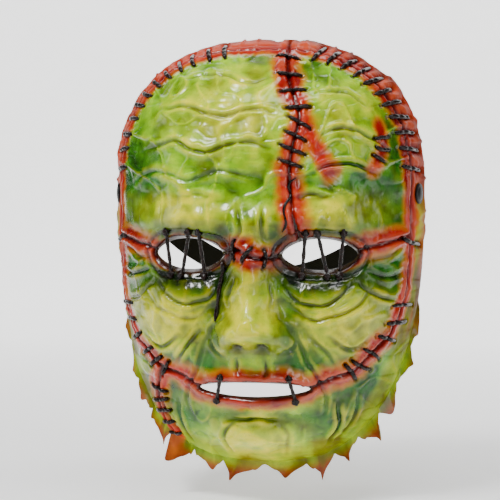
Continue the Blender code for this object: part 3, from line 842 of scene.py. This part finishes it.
def make_panels():
    """Every panel of the shell, and the whole outside for laying threads on."""
    skin = Skin()
    colours = paint(skin)
    loop, hanging, tint = hem(skin, colours)
    points = np.concatenate([skin.places.reshape(-1, 3), hanging])
    shades = {name: np.concatenate([values.ravel(), tint[name]])
              for name, values in colours.items()}
    thickness = np.full(len(points), WALL)
    below = np.repeat(np.arange(1, DRIP_ROWS + 1) / DRIP_ROWS, len(loop))
    thickness[-len(hanging):] = WALL * (1 - DRIP_THINNING * below)
    faces, owners = skin_faces(skin, label_cells(skin), loop)
    whole = mesh_from(points, faces)
    normals = np.array([vertex.normal for vertex in whole.vertices])
    tree = BVHTree.FromPolygons([Vector(point) for point in points],
                                [tuple(int(corner) for corner in face) for face in faces])
    bpy.data.meshes.remove(whole)
    for number, name in enumerate(PANELS):
        mesh = panel_mesh(faces[owners == number], points, normals, thickness, shades)
        shown(name + "_skin", mesh, LATEX, "mask", name)
    return tree


# ---- threads

def loft(rings):
    """A closed form over rings of points."""
    sides = len(rings[0])
    starts = range(0, len(rings) * sides, sides)
    faces = [(low + step, low + (step + 1) % sides, high + (step + 1) % sides, high + step)
             for low, high in zip(starts, starts[1:]) for step in range(sides)]
    faces += [tuple(reversed(range(sides))), tuple(range(starts[-1], starts[-1] + sides))]
    return mesh_from([point for ring in rings for point in ring], faces)


def tube_mesh(points, radii, sides=14, ply=0.0, turn=0.0):
    """A closed tube through points, with the twist of plied thread."""
    rings = []
    side = (points[1] - points[0]).normalized().orthogonal().normalized()
    run = 0.0
    for index, point in enumerate(points):
        before = points[max(index - 1, 0)]
        ahead = (points[min(index + 1, len(points) - 1)] - before).normalized()
        side = (side - ahead * side.dot(ahead)).normalized()
        up = ahead.cross(side)
        run += (point - before).length
        ring = []
        for step in range(sides):
            angle = math.tau * step / sides
            strand = 1 + ply * math.cos(3 * (angle - turn * run))
            lump = 1 + 0.12 * noise.noise(point * 900 + Vector((angle, 0, 0)))
            reach = radii[index] * strand * lump
            ring.append(point + (side * math.cos(angle) + up * math.sin(angle)) * reach)
        rings.append(ring)
    return loft(rings)


def joined(meshes):
    """Several meshes as one."""
    form = bmesh.new()
    for mesh in meshes:
        form.from_mesh(mesh)
        bpy.data.meshes.remove(mesh)
    return mesh_of(form)


def above(tree, place, lift):
    """A place over the skin at a front-view point, lifted along its normal."""
    hit, normal, _, _ = tree.ray_cast(Vector((place.x, -0.3, place.y)), Vector((0, 1, 0)))
    if hit is None:
        return None
    return hit + (normal + Vector((0, -0.6, 0))).normalized() * lift


def laid(tree, places, lifts):
    """Front-view places laid over the skin, each lifted by its own height."""
    found = [above(tree, place, lift) for place, lift in zip(places, lifts)]
    return [point for point in found if point is not None]


def evened(points, passes=2):
    """A line of points with its bumps eased out."""
    for _ in range(passes):
        inner = [(before + 2 * point + after) / 4
                 for before, point, after in zip(points, points[1:], points[2:])]
        points = [points[0], *inner, points[-1]]
    return points


def stitch_mesh(tree, stitch):
    """One stitch: it rises from a puncture, crosses the seam and dives again."""
    places = smooth(stitch.places, 2)
    lifts, radii = [], []
    for index in range(len(places)):
        u = abs(index / (len(places) - 1) * 2 - 1)
        lifts.append(stitch.radius * (0.95 - 2.1 * ease(u, 0.72, 1.0)))
        radii.append(stitch.radius * (1.0 - 0.35 * u ** 4))
    return tube_mesh(evened(laid(tree, places, lifts)), radii, ply=0.09, turn=900)


def make_stitches(tree):
    """Every row of stitches, each row one piece."""
    for name, row in stitches.items():
        show_thread(name, joined([stitch_mesh(tree, stitch) for stitch in row]))


def make_cord(tree, name, places, radius, lift, seed):
    """An uneven cord lying on the skin along a line."""
    spread = random.Random(seed)
    count = len(places)
    radii = []
    for index in range(count):
        end = 1 - 0.6 * ease(abs(index / (count - 1) * 2 - 1), 0.8, 1.0)
        radii.append(radius * end * (1 + 0.18 * math.sin(index * 0.7 + seed)
                                     + spread.uniform(-0.06, 0.06)))
    points = evened(laid(tree, places, [lift] * count), 3)
    show_thread(name, tube_mesh(points, radii, ply=0.05, turn=700))


def make_strand(tree, name, x, lean, level, half_gap, reach):
    """A sticky strand over a slot: flared where it meets the skin, thin in the middle."""
    rests = (half_gap + reach, half_gap + reach * 0.5, half_gap + 1.2 * MM)
    top, low = [[above(tree, Vector((x + end * lean * rest / half_gap, level + end * rest)),
                       STRAND_LIFT) for rest in rests] for end in (1, -1)]
    points = smooth([*top, (top[-1] + low[-1]) / 2, *reversed(low)], 7)
    radii = []
    for index in range(len(points)):
        u = abs(index / (len(points) - 1) * 2 - 1)
        flare = 0.85 + 0.9 * ease(u, 0.25, 0.72) - 1.1 * ease(u, 0.75, 1.0)
        radii.append(STRAND_RADIUS * flare * (1 + 0.14 * math.sin(index * 1.3 + x * 400)))
    show_thread(name, tube_mesh(points, radii, sides=16))


# Strands over the eye slots, as distance and lean from the middle, and over the mouth.
EYE_STRANDS = ((0.031, 0.001), (0.042, -0.002), (0.053, 0.001))
MOUTH_STRANDS = {"left": (-0.021, 0.001), "right": (0.024, -0.001)}
STRAND_LIFT = 0.4 * MM
STRAND_RADIUS = 1.3 * MM


def make_strands(tree):
    """Strands across the slots and the loose threads."""
    for label, side in SIDES.items():
        for number, (x, lean) in enumerate(EYE_STRANDS, 1):
            make_strand(tree, "eye_strand_%s_%d" % (label, number), side * x, side * lean,
                        0.0, EYE_HALF_HEIGHT, 0.006)
    for label, facts in MOUTH_STRANDS.items():
        make_strand(tree, "mouth_strand_" + label, *facts, MOUTH_Z, MOUTH_HALF_HEIGHT, 0.005)
    make_cord(tree, "loose_thread", route(LOOSE_THREAD), 0.75 * MM, 0.7 * MM, 3)
    make_cord(tree, "drip_strand", route(DRIP_STRAND), 1.2 * MM, 0.9 * MM, 5)


# ---- rivets and strap

RIVET_TILT = math.radians(15)
WALL_OFFSET = 0.0074
POST_INSIDE = 0.0034
LONGEST_POST = 0.0034
WASHER_GAP = 0.0003
STRAP_WIDTH = 0.015
STRAP_THICKNESS = 0.0012
TAB_FRONT = 0.006
RIBS = 14
RIB_STEPS = 70
RIB_HEIGHT = 0.06 * MM
PICK_PITCH = 0.9 * MM
# Half of the strap's middle line, in millimetres.
STRAP_HALF = ((88.8, 0, 35), (85.5, 12, 29), (74, 21, 14.5), (58, 26, 0), (36, 28, -12.5), (14,
              29, -20), (0, 29, -21))
CAP_PROFILE = ((0.0, -3.4), (1.25, -3.4), (1.6, -3.05), (1.6, 0.0), (5.9, 0.0), (6.35, 0.2),
               (6.5, 0.65), (6.35, 1.15), (5.9, 1.5), (5.2, 1.62), (4.9, 1.5), (4.6, 1.6),
               (3.4, 1.95), (1.8, 2.15), (0.0, 2.2))
WASHER_PROFILE = ((1.9, 0.0), (4.3, 0.0), (4.5, 0.2), (4.5, 1.2), (4.3, 1.4), (2.2, 1.4),
                  (1.9, 1.2), (1.9, 0.0))


def lathe(profile, start, axis, sides=72):
    """A turned piece from its half profile of radii and heights in millimetres."""
    form = bmesh.new()
    line = [form.verts.new((radius * MM, 0.0, height * MM)) for radius, height in profile]
    edges = [form.edges.new(pair) for pair in zip(line, line[1:])]
    bmesh.ops.spin(form, geom=line + edges, cent=(0, 0, 0), axis=(0, 0, 1),
                   angle=math.tau, steps=sides, use_duplicate=False)
    bmesh.ops.remove_doubles(form, verts=form.verts, dist=1e-6)
    bmesh.ops.recalc_face_normals(form, faces=form.faces)
    mesh = mesh_of(form)
    mesh.polygons.foreach_set("use_smooth", [True] * len(mesh.polygons))
    mesh.set_sharp_from_angle(angle=math.radians(50))
    mesh.transform(Matrix.Translation(start) @ axis.to_track_quat("Z", "Y").to_matrix().to_4x4())
    return mesh


def make_rivets():
    """Domed rivets and the washers behind the strap."""
    stem = (LONGEST_POST - POST_INSIDE - WALL_OFFSET) / MM
    profile = [(radius, height if height > -1 else height + stem)
               for radius, height in CAP_PROFILE]
    for label, side in SIDES.items():
        centre = Vector((side * HINGE.x, HINGE.y, HINGE.z))
        axis = Vector((side * math.cos(RIVET_TILT), -math.sin(RIVET_TILT), 0.0))
        cap = lathe(profile, centre + axis * WALL_OFFSET, axis)
        shown("rivet_%s_cap" % label, cap, RIVET, "mask", "rivet_" + label)
        inward = Vector((-side, 0.0, 0.0))
        start = centre + inward * (STRAP_THICKNESS / 2 + WASHER_GAP)
        washer = lathe(WASHER_PROFILE, start, inward)
        shown("washer_" + label, washer, WASHER, "mask", "rivet_washer_" + label)


def strap_section():
    """The elastic's cross section: ribs along it and rounded edges, one way round."""
    face = []
    for step in range(RIB_STEPS + 1):
        u = step / RIB_STEPS * 2 - 1
        edge = min(1.0, (1 - abs(u)) / 0.06)
        rib = RIB_HEIGHT * math.cos(u * RIBS * math.pi) * edge
        thick = (STRAP_THICKNESS / 2 - RIB_HEIGHT) * math.sqrt(max(0.0, 1 - (1 - edge) ** 2))
        face.append((u * STRAP_WIDTH / 2, thick + rib))
    return face + [(across, -height) for across, height in reversed(face[1:-1])]


def make_strap():
    """The woven elastic, a ribbon round behind the head."""
    half = [HINGE + Vector((0.0, -TAB_FRONT, 0.0))] + [Vector(point) * MM for point in STRAP_HALF]
    other = [Vector((-point.x, point.y, point.z)) for point in reversed(half[:-1])]
    line = smooth(half + other, 26)
    section = strap_section()
    rings, lengths, run = [], [], 0.0
    for index, point in enumerate(line):
        before = line[max(index - 1, 0)]
        ahead = (line[min(index + 1, len(line) - 1)] - before).normalized()
        wide = (Vector((0, 0, 1)) - ahead * ahead.z).normalized()
        thick = ahead.cross(wide)
        run += (point - before).length
        lengths.append(run)
        pick = 1 + 0.05 * math.sin(run / PICK_PITCH * math.tau)
        rings.append([point + wide * across + thick * height * pick
                      for across, height in section])
    form = bmesh.new()
    form.from_mesh(loft(rings))
    bmesh.ops.recalc_face_normals(form, faces=form.faces)
    mesh = mesh_of(form)
    layer = mesh.uv_layers.new(name="weave")
    for loop in mesh.loops:
        row, step = divmod(loop.vertex_index, len(section))
        layer.data[loop.index].uv = (section[step][0] / STRAP_WIDTH + 0.5,
                                     lengths[row] / STRAP_WIDTH)
    shown("elastic_strap_ribbon", mesh, ELASTIC, "strap", "elastic_strap")


# ---- materials

# Pairs of colours as they look on screen, 0 to 255.
PALETTE = {
    "lime": ((104, 184, 0), (158, 226, 0)),
    # Green goes partly into painted shade in hollows and valleys; yellow partly into painted
    # highlights on raised relief.
    "green": ((4, 54, 0), (30, 122, 0)),
    "yellow": ((216, 214, 4), (238, 230, 40)),
    "red": ((124, 6, 3), (190, 38, 20)),
    "rear": ((92, 34, 14), (160, 50, 22)),
    "orange": ((124, 40, 8), (176, 84, 10)),
    # Near-black of the painted shade in creases, grooves and round the eyes, also used for the
    # darker drip tips.
    "shade_and_drip_tip": ((10, 22, 4), (40, 4, 4)),
    "bare": ((150, 146, 84), (176, 168, 110)),
    "thread": ((8, 4, 4), (40, 17, 12)),
    "lacquer": ((8, 8, 9), (34, 33, 33)),
    "zinc": ((150, 152, 156), (186, 188, 190)),
    "elastic": ((12, 12, 14), (44, 44, 48)),
}
FLECK = (36, 92, 4)
# Salmon painted highlight on the raised relief of the red borders, partly the borders' own salmon
# paint.
SALMON_HIGHLIGHT = (216, 92, 52)
AMBER = (206, 128, 8)
MAROON = (62, 8, 6)
FUZZ = (62, 62, 66)


class Look:
    """A node material being put together."""

    def __init__(self, name):
        self.material = bpy.data.materials.new(name)
        self.material.use_nodes = True
        self.tree = self.material.node_tree
        self.surface = self.tree.nodes["Principled BSDF"]

    def put(self, socket, value):
        """Set a socket, or link another node's output to it."""
        if isinstance(value, bpy.types.NodeSocket):
            self.tree.links.new(value, socket)
        else:
            socket.default_value = value

    def node(self, kind, inputs, **settings):
        """Add a node with its settings and inputs."""
        made = self.tree.nodes.new(kind)
        for name, value in settings.items():
            setattr(made, name, value)
        for name, value in inputs.items():
            self.put(made.inputs[name], value)
        return made

    def place(self, kind="Object"):
        """Places on the object, in its own axes or along its weave."""
        return self.node("ShaderNodeTexCoord", {}).outputs[kind]

    def noise(self, scale, detail=4.0, rough=0.55):
        """Smooth noise from 0 to 1."""
        made = self.node("ShaderNodeTexNoise", {"Vector": self.place(), "Scale": scale,
                                                "Detail": detail, "Roughness": rough})
        return made.outputs["Fac"]

    def span(self, value, low=0.3, high=0.7, to_low=0.0, to_high=1.0):
        """A value carried from one span to another."""
        made = self.node("ShaderNodeMapRange", {"Value": value, "From Min": low, "From Max": high,
                                                "To Min": to_low, "To Max": to_high})
        return made.outputs["Result"]

    def math(self, kind, first, second):
        """Arithmetic on two values, kept from 0 to 1."""
        made = self.node("ShaderNodeMath", {0: first, 1: second}, operation=kind, use_clamp=True)
        return made.outputs[0]

    def times(self, first, second):
        """The product of two values."""
        return self.math("MULTIPLY", first, second)

    def mix(self, share, first, second):
        """Two colours mixed by a share."""
        made = self.node("ShaderNodeMix", {0: share, 6: first, 7: second}, data_type="RGBA")
        return made.outputs[2]

    def pair(self, name, share):
        """A pair of the palette's colours mixed by a share."""
        return self.mix(share, *[colour(shade) for shade in PALETTE[name]])

    def painted(self, name):
        """How much of one of the skin's colours lies here."""
        return self.node("ShaderNodeAttribute", {}, attribute_name=name).outputs["Fac"]

    def bump(self, height, strength, distance, before=None):
        """Fine relief."""
        made = self.node("ShaderNodeBump", {"Height": height, "Strength": strength,
                                            "Distance": distance})
        if before is not None:
            self.put(made.inputs["Normal"], before)
        return made.outputs["Normal"]

    def finish(self, **inputs):
        """Set the surface's inputs, with spaces written as underscores."""
        for name, value in inputs.items():
            self.put(self.surface.inputs[name.replace("_", " ")], value)
        return self.material


def colour(shade):
    """A colour given as it looks on screen, 0 to 255."""
    return (*[(value / 255) ** 2.2 for value in shade], 1.0)


def latex_look():
    """Glossy painted latex: lime with green, yellow, red, maroon and dark washes; the yellow is
    partly painted highlight on raised relief, the green and the dark washes partly painted shade
    in hollows, creases and grooves.
    """
    look = Look("painted_latex")
    broad = look.noise(30, 3)
    small = look.noise(110, 4, 0.5)
    tiny = look.noise(620, 4, 0.6)
    even = look.span(small)
    height, red, satin = [look.painted(name) for name in ("height", "red", "satin")]
    # Painted shade: the green grows in the valleys of the relief.
    deep_green_and_shade = look.times(look.painted("deep_green_and_shade"), look.span(broad, 0.3, 0.6, 0.6, 1.6))
    deep_green_and_shade = look.math("ADD", deep_green_and_shade, look.times(look.span(height, 0.62, 0.22), 0.75))
    tone = look.mix(deep_green_and_shade, look.pair("lime", look.span(small, 0.35, 0.65)),
                    look.pair("green", even))
    # Painted highlight: yellow on the tops of the relief and on the raised features.
    crest_highlight = look.times(look.span(height, 0.55, 0.95, 0.0, 0.55), look.span(broad, 0.4, 0.6))
    light = look.times(look.painted("yellow"), look.span(small, to_low=0.7, to_high=1.4))
    tone = look.mix(look.math("ADD", light, crest_highlight), tone, look.pair("yellow", even))
    tone = look.mix(look.span(tiny, 0.60, 0.70, 0.0, 0.3), tone, colour(FLECK))
    # Painted highlight: the red turns salmon on raised relief, partly the borders' own salmon
    # paint.
    soft = look.mix(look.span(height, 0.55, 1.0, 0.0, 0.6),
                    look.pair("red", look.span(broad, 0.38, 0.62)), colour(SALMON_HIGHLIGHT))
    border = look.times(red, look.span(small, 0.25, 0.6, 0.85, 1.25))
    tone = look.mix(look.span(border, 0.02, 0.55, 0.0, 0.9), tone, colour(AMBER))
    tone = look.mix(look.span(border, 0.32, 0.9), tone, soft)
    edge = look.times(look.painted("edge"), look.span(small, to_low=0.6))
    tone = look.mix(edge, tone, look.pair("rear", look.span(broad, 0.42, 0.58)))
    tone = look.mix(look.painted("orange"), tone, look.pair("orange", even))
    tone = look.mix(look.painted("maroon"), tone, colour(MAROON))
    # Painted shade: near-black in creases, grooves and round the eyes; also the darker drip tips.
    shade_and_drip_tip = look.times(look.painted("dark"), look.span(small, to_low=0.75, to_high=1.15))
    tone = look.mix(shade_and_drip_tip, tone, look.pair("shade_and_drip_tip", red))
    tone = look.mix(look.painted("inside"), tone, look.pair("bare", even))
    pores = look.node("ShaderNodeTexVoronoi", {"Vector": look.place(), "Scale": 900.0})
    relief = look.bump(tiny, 0.35, 0.0006)
    relief = look.bump(pores.outputs["Distance"], 0.12, 0.0003, relief)
    rough = look.math("ADD", look.span(small, to_low=0.16, to_high=0.30), look.times(satin, 0.3))
    return look.finish(Base_Color=tone, Roughness=rough, Normal=relief, IOR=1.38,
                       Specular_IOR_Level=look.span(satin, 0.0, 1.0, 0.5, 0.12),
                       Coat_Weight=look.span(satin, 0.0, 1.0, 0.45, 0.04),
                       Coat_Roughness=0.03)


# Small pieces: palette pair, grain, colour and roughness spans, relief, and the rest.
GRAINED = {
    "stitch_thread": ("thread", 420, (0.35, 0.7), (0.2, 0.36), (1400, 4, 0.55, 0.35, 0.0004),
                      {"IOR": 1.36, "Coat_Weight": 0.12, "Coat_Roughness": 0.06}),
    "black_rivet": ("lacquer", 900, (0.6, 0.75), (0.34, 0.5), (900, 5, 0.6, 0.15, 0.0002),
                    {"Specular_IOR_Level": 0.3}),
    "steel_washer": ("zinc", 1100, (0.35, 0.7), (0.25, 0.42), (1100, 5, 0.6, 0.2, 0.0002),
                     {"Metallic": 1.0}),
}


def grained_look(name):
    """A small piece whose grain moves its colour and roughness."""
    pair, scale, tones, rough, (fine, detail, harsh, strength, distance), rest = GRAINED[name]
    look = Look(name)
    grain = look.noise(scale, 5, 0.6)
    return look.finish(Base_Color=look.pair(pair, look.span(grain, *tones)),
                       Roughness=look.span(grain, 0.3, 0.7, *rough),
                       Normal=look.bump(look.noise(fine, detail, harsh), strength, distance),
                       **rest)


def elastic_look():
    """Black woven elastic, from its own length and width."""
    look = Look("black_elastic")
    where = look.place("UV")
    warp, weft = [look.node("ShaderNodeTexWave", {"Vector": where, "Scale": scale,
                                                  "Distortion": wander}, bands_direction=way)
                  for scale, wander, way in ((4.4, 0.3, "X"), (5.6, 0.6, "Y"))]
    weave = look.times(warp.outputs["Fac"], weft.outputs["Fac"])
    fuzz = look.noise(900, 6, 0.7)
    tone = look.mix(look.span(fuzz, 0.55, 0.8, 0.0, 0.5), look.pair("elastic", weave),
                    colour(FUZZ))
    relief = look.bump(fuzz, 0.3, 0.0002, look.bump(weave, 0.6, 0.0004))
    return look.finish(Base_Color=tone, Roughness=look.span(fuzz, to_low=0.5, to_high=0.75),
                       Normal=relief, Specular_IOR_Level=0.25, Sheen_Weight=0.05)


def stage_look(name, shade, glow):
    """A pale plain floor; with a glow above 0 it glows as painted light, more strongly further
    back.
    """
    look = Look(name)
    tone = look.mix(look.span(look.noise(60, 3)), colour((shade - 4, shade - 4, shade - 5)),
                    colour((shade, shade, shade)))
    # Painted light: the emission grows with the distance back.
    depth = look.node("ShaderNodeSeparateXYZ", {"Vector": look.place()}).outputs["Y"]
    return look.finish(Base_Color=tone, Roughness=0.8, Emission_Color=tone,
                       Emission_Strength=look.span(depth, 0.05, 1.1, 0.25 * glow, glow))


# ---- stage

def make_stage():
    """A pale sweep that curves up behind the mask and glows as painted light, and a wide floor
    under it that does not glow.
    """
    profile = [(SWEEP_FRONT, 0.0), (SWEEP_BACK, 0.0)]
    for step in range(1, SWEEP_STEPS + 1):
        angle = math.pi / 2 * step / SWEEP_STEPS
        profile.append((SWEEP_BACK + SWEEP_RADIUS * math.sin(angle),
                        SWEEP_RADIUS * (1 - math.cos(angle))))
    profile.append((SWEEP_BACK + SWEEP_RADIUS, SWEEP_TOP))
    points = [(x, y, z + FLOOR_Z) for y, z in profile for x in SWEEP_SIDES]
    faces = [(low, low + 1, low + 3, low + 2) for low in range(0, len(points) - 2, 2)]
    sweep = mesh_from(points, faces)
    sweep.materials.append(stage_look("glowing_pale_sweep", 250, 1.7))
    obj = linked("glowing_pale_sweep", sweep)
    corners = [(x, y, FLOOR_Z - 0.002) for x, y in ((-6, -6), (6, -6), (6, 6), (-6, 6))]
    wide = mesh_from(corners, [(0, 1, 2, 3)])
    wide.materials.append(stage_look("wide_floor", 232, 0.0))
    ground = linked("wide_floor", wide)


def aimed(obj, place):
    """Put a light or the camera at a place, facing the mask."""
    obj.location = place
    obj.rotation_euler = (AIM - Vector(place)).to_track_quat("-Z", "Y").to_euler()


def make_light(name, place, size, power):
    """A soft rectangular light that faces the mask."""
    data = bpy.data.lights.new(name, "AREA")
    data.shape = "RECTANGLE"
    data.size, data.size_y = size
    data.energy = power
    aimed(linked(name, data), place)


def make_camera():
    """The camera, a little to the right of the face and above its middle."""
    data = bpy.data.cameras.new("camera")
    data.lens = 120
    data.sensor_width = 36
    turn, lift = math.radians(CAMERA_AZIMUTH), math.radians(CAMERA_ELEVATION)
    away = Vector((math.sin(turn) * math.cos(lift), -math.cos(turn) * math.cos(lift),
                   math.sin(lift)))
    camera = linked("camera", data)
    aimed(camera, AIM + away * CAMERA_DISTANCE)
    bpy.context.scene.camera = camera


FLOOR_Z = -0.158
AIM = Vector((-0.007, -0.045, 0.001))
CAMERA_AZIMUTH = 9
CAMERA_ELEVATION = 3
CAMERA_DISTANCE = 1.04
SWEEP_FRONT = -0.14
SWEEP_BACK = 0.9
SWEEP_RADIUS = 0.6
SWEEP_STEPS = 16
SWEEP_TOP = 2.2
SWEEP_SIDES = (-1.3, 1.1)

# Lights: where, how large, how strong in watts.
LIGHTS = {
    "key": ((-0.45, -0.70, 0.95), (0.30, 0.30), 14),
    "fill": ((0.80, -0.95, 0.10), (0.20, 0.7), 3.2),
    "top": ((0.20, -0.30, 1.0), (0.8, 0.20), 5.5),
    "side_left": ((-0.9, -0.2, 0.1), (0.16, 0.9), 1.6),
    "side_right": ((0.9, -0.2, 0.1), (0.16, 0.9), 1.2),
}
WORLD_COLOUR = (0.94, 0.97, 1.0, 1.0)
WORLD_STRENGTH = 0.05

LATEX = latex_look()
THREAD, RIVET, WASHER = [grained_look(name) for name in GRAINED]
ELASTIC = elastic_look()

outside = make_panels()
make_stitches(outside)
make_strands(outside)
make_rivets()
make_strap()
make_stage()
for title, facts in LIGHTS.items():
    make_light(title, *facts)
world = bpy.data.worlds.new("studio")
world.use_nodes = True
sky = world.node_tree.nodes["Background"]
sky.inputs["Color"].default_value = WORLD_COLOUR
sky.inputs["Strength"].default_value = WORLD_STRENGTH
bpy.context.scene.world = world
make_camera()
